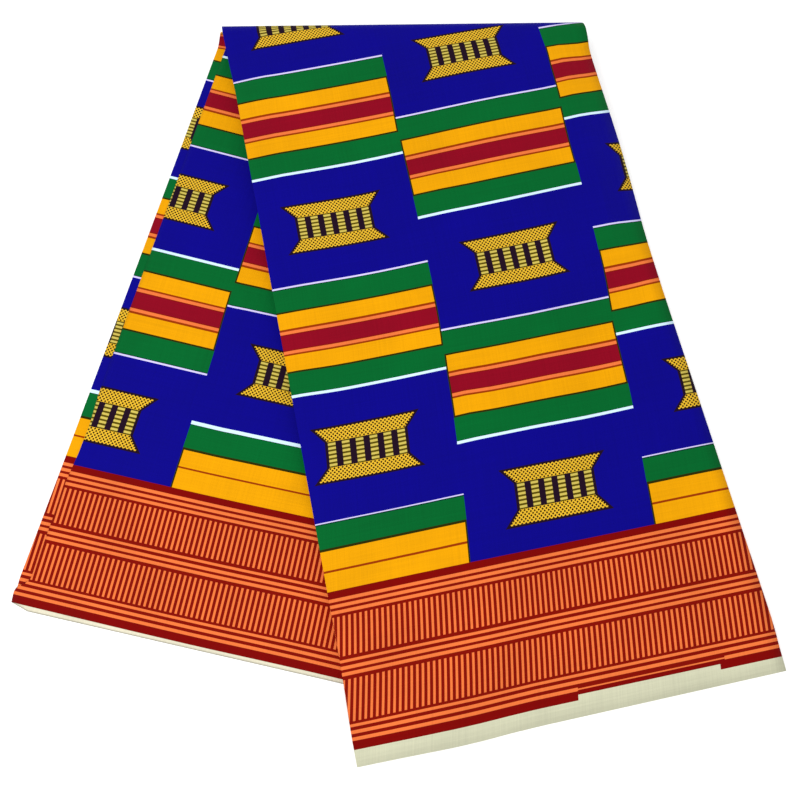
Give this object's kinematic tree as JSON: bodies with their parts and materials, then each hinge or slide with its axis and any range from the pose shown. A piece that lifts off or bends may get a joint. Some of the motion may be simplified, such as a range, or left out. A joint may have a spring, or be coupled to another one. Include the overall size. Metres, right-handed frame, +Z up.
{
  "type": "folded ankara fabric",
  "caption": "Cut length of wax-print cotton, pleated into a flat stack of layers and folded over at the top, with its two halves fanned apart on a flat surface.",
  "frame": {"origin": "centre of the outline, on the surface that the cloth lies on", "axes": "+Z up, +Y towards the fold at the top of the stack, +X to the right seen from above with the fold at the top"},
  "size_m": [0.58, 0.6292, 0.0288],
  "materials": {
    "printed_cotton": "matte"
  },
  "bodies": {
    "root": {"folded_cloth": "printed_cotton"}
  },
  "joints": []
}
